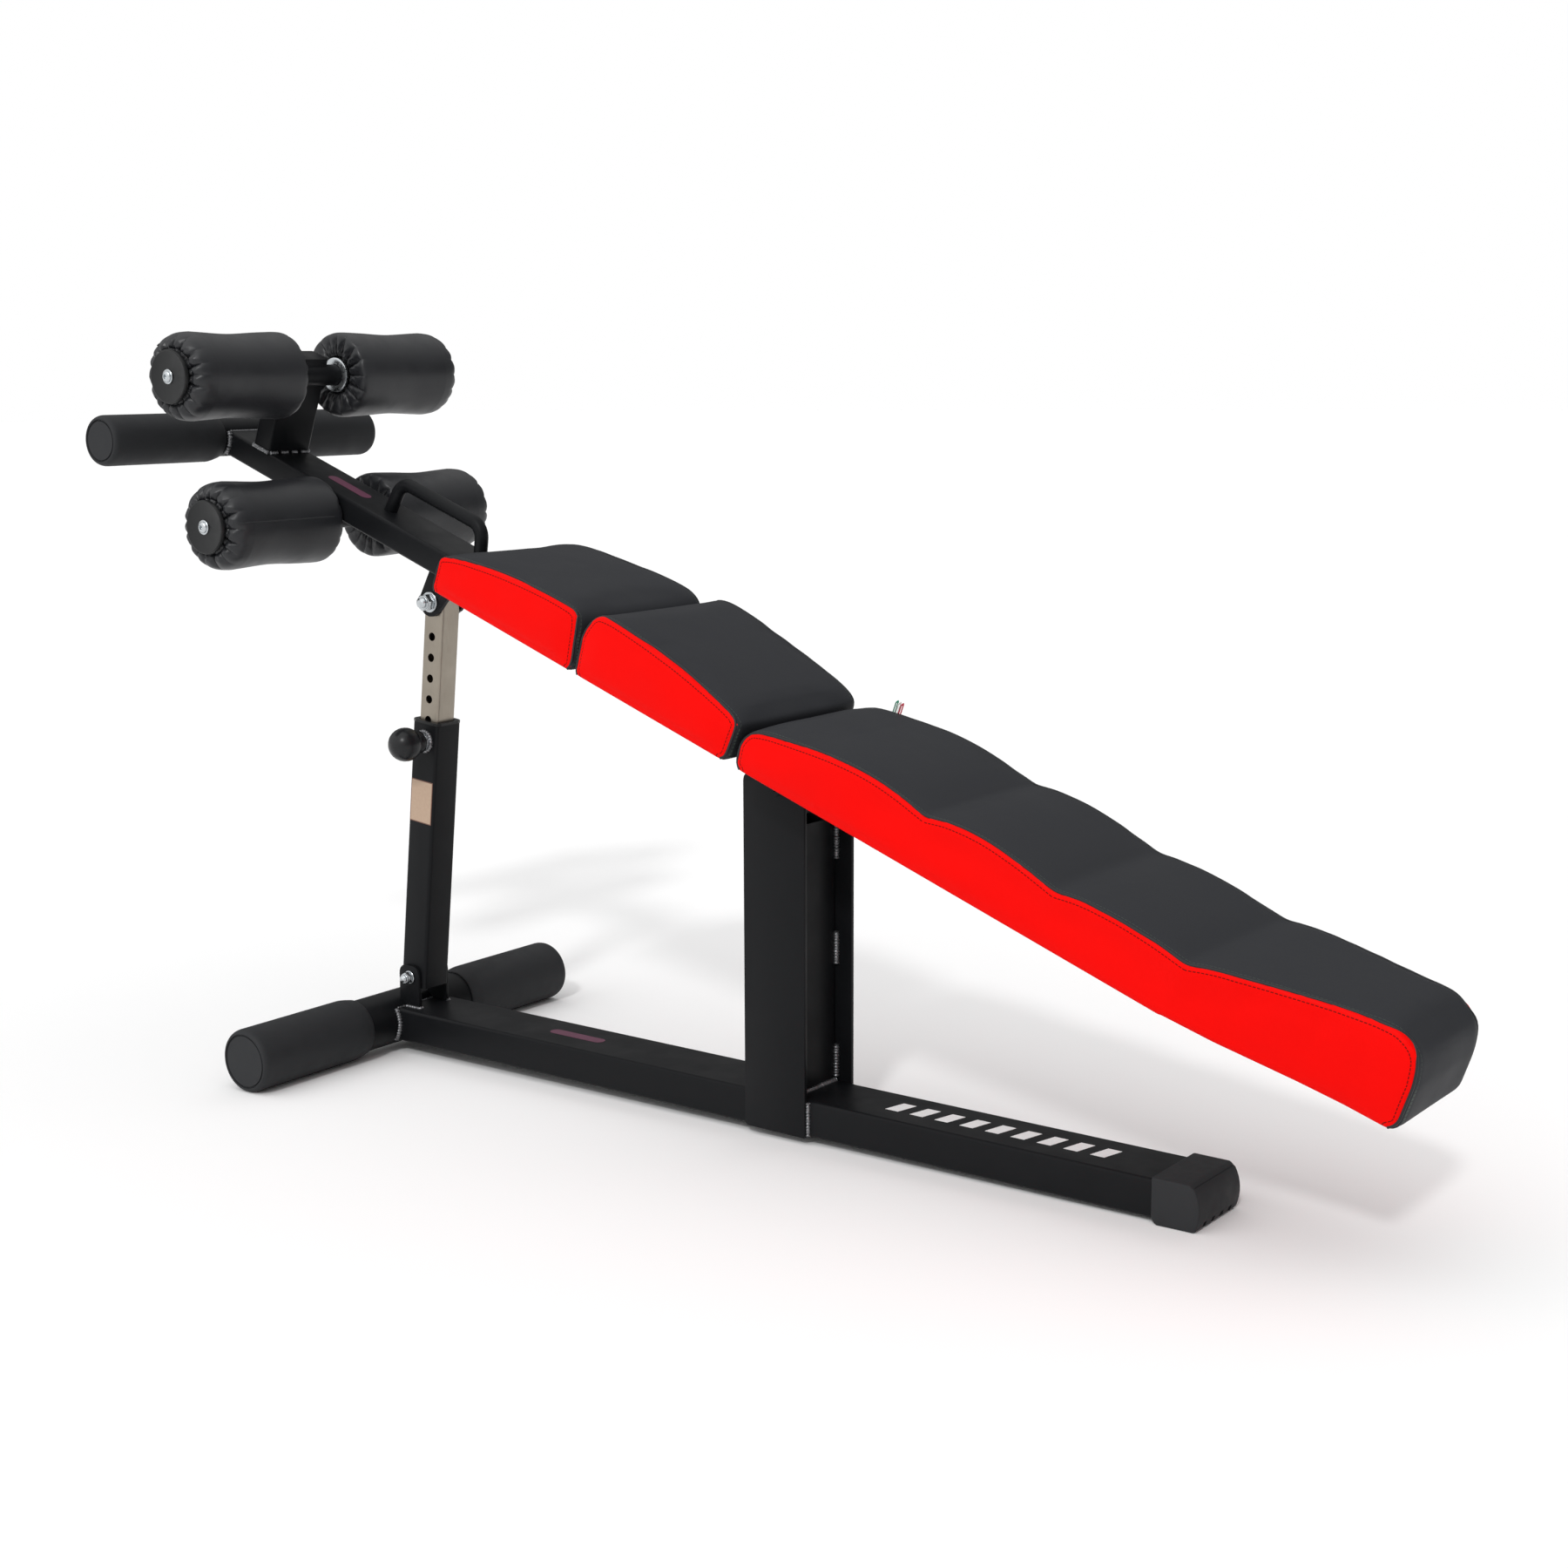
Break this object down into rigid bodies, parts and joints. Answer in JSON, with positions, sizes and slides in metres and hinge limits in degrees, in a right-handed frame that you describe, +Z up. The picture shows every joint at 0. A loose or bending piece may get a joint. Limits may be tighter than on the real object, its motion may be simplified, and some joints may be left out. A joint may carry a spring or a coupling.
{
  "type": "decline sit up bench",
  "caption": "Adjustable decline sit-up bench with black and red cushions, foot rollers, a handle and a telescopic strut set by a pull pin.",
  "frame": {"origin": "on the floor, under the middle of the whole bench", "axes": "+X from the foot rollers to the head end, along the bench; +Y to the user's right as they lie on it; +Z up"},
  "size_m": [1.6072, 0.5128, 0.8623],
  "materials": {
    "black_paint": "satin black powder coat",
    "grip_rubber": "matt moulded rubber",
    "black_plastic": "satin moulded plastic",
    "red_leather": "red leatherette, fine grain",
    "black_leather": "charcoal leatherette, fine grain",
    "zinc_steel": "bright zinc plate",
    "nickel_steel": "nickel plate, lightly drawn",
    "plywood": "raw plywood"
  },
  "bodies": {
    "base": {"foot_tube": "black_paint", "foot_sleeve_left": "grip_rubber", "foot_sleeve_right": "grip_rubber", "base_beam": "black_paint", "rear_foot_cap": "grip_rubber", "post_plate_left": "black_paint", "post_plate_right": "black_paint", "post_web": "black_paint", "post_pivot_bolt": "black_paint", "post_pivot_nut": "black_paint", "strut_base_ear_left": "black_paint", "strut_base_ear_right": "black_paint", "strut_base_bolt": "zinc_steel", "strut_base_nut": "zinc_steel"},
    "bench": {"bench_beam": "black_paint", "pivot_sleeve": "black_paint", "crossbar": "black_paint", "crossbar_sleeve_left": "grip_rubber", "crossbar_sleeve_right": "grip_rubber", "roller_post": "black_paint", "upper_axle": "black_paint", "lower_axle": "black_paint", "handle": "black_paint", "strut_top_ear_left": "black_paint", "strut_top_ear_right": "black_paint", "strut_top_bolt": "zinc_steel", "strut_top_nut": "zinc_steel", "seat_upper_board": "plywood", "seat_lower_board": "plywood", "back_board": "plywood", "seat_upper_cushion": "red_leather", "seat_lower_cushion": "red_leather", "back_cushion": "red_leather", "roller_disc_upper_left": "black_plastic", "roller_screw_upper_left": "zinc_steel", "roller_washer_upper_left": "zinc_steel", "roller_disc_upper_right": "black_plastic", "roller_screw_upper_right": "zinc_steel", "roller_washer_upper_right": "zinc_steel", "roller_disc_lower_left": "black_plastic", "roller_screw_lower_left": "zinc_steel", "roller_washer_lower_left": "zinc_steel", "roller_disc_lower_right": "black_plastic", "roller_screw_lower_right": "zinc_steel", "roller_washer_lower_right": "zinc_steel"},
    "strut_outer": {"strut_outer_tube": "black_paint", "strut_guide_bush": "black_plastic", "plunger_housing": "zinc_steel", "plunger_spring": "zinc_steel"},
    "strut_inner": {"strut_inner_tube": "nickel_steel"},
    "plunger": {"plunger_pin": "zinc_steel", "pull_knob": "black_plastic"},
    "roller_upper_left": {"roller_core_upper_left": "black_plastic", "roller_pad_upper_left": "black_leather"},
    "roller_upper_right": {"roller_core_upper_right": "black_plastic", "roller_pad_upper_right": "black_leather"},
    "roller_lower_left": {"roller_core_lower_left": "black_plastic", "roller_pad_lower_left": "black_leather"},
    "roller_lower_right": {"roller_core_lower_right": "black_plastic", "roller_pad_lower_right": "black_leather"}
  },
  "joints": [
    {"name": "bench_tilt", "type": "hinge", "parent": "base", "child": "bench", "pos_m": [0.09681, 0, 0.38238], "axis": [0, 1, 0], "range_deg": [-13, 5.3]},
    {"name": "strut_swing", "type": "hinge", "parent": "base", "child": "strut_outer", "pos_m": [-0.48161, 0, 0.09251], "axis": [0, 1, 0], "range_deg": [-2.4, 1]},
    {"name": "strut_slide", "type": "slide", "parent": "strut_outer", "child": "strut_inner", "axis": [0.1164, 0, 0.9932], "range_m": [-0.126, 0.052]},
    {"name": "pin_pull", "type": "slide", "parent": "strut_outer", "child": "plunger", "axis": [0, -1, 0], "range_m": [0, 0.012], "stiffness_N_per_m": 1500, "springref_m": -0.008},
    {"name": "roller_spin_upper_left", "type": "hinge", "parent": "bench", "child": "roller_upper_left", "pos_m": [-0.64854, -0.126, 0.81136], "axis": [0, 1, 0], "continuous": true},
    {"name": "roller_spin_upper_right", "type": "hinge", "parent": "bench", "child": "roller_upper_right", "pos_m": [-0.64854, 0.126, 0.81136], "axis": [0, 1, 0], "continuous": true},
    {"name": "roller_spin_lower_left", "type": "hinge", "parent": "bench", "child": "roller_lower_left", "pos_m": [-0.60037, -0.126, 0.64168], "axis": [0, 1, 0], "continuous": true},
    {"name": "roller_spin_lower_right", "type": "hinge", "parent": "bench", "child": "roller_lower_right", "pos_m": [-0.60037, 0.126, 0.64168], "axis": [0, 1, 0], "continuous": true}
  ],
  "couplings": [
    {"joint": "strut_swing", "follows": "bench_tilt", "ratio": 0.176},
    {"joint": "strut_slide", "follows": "bench_tilt", "m_per_rad": 0.546}
  ]
}
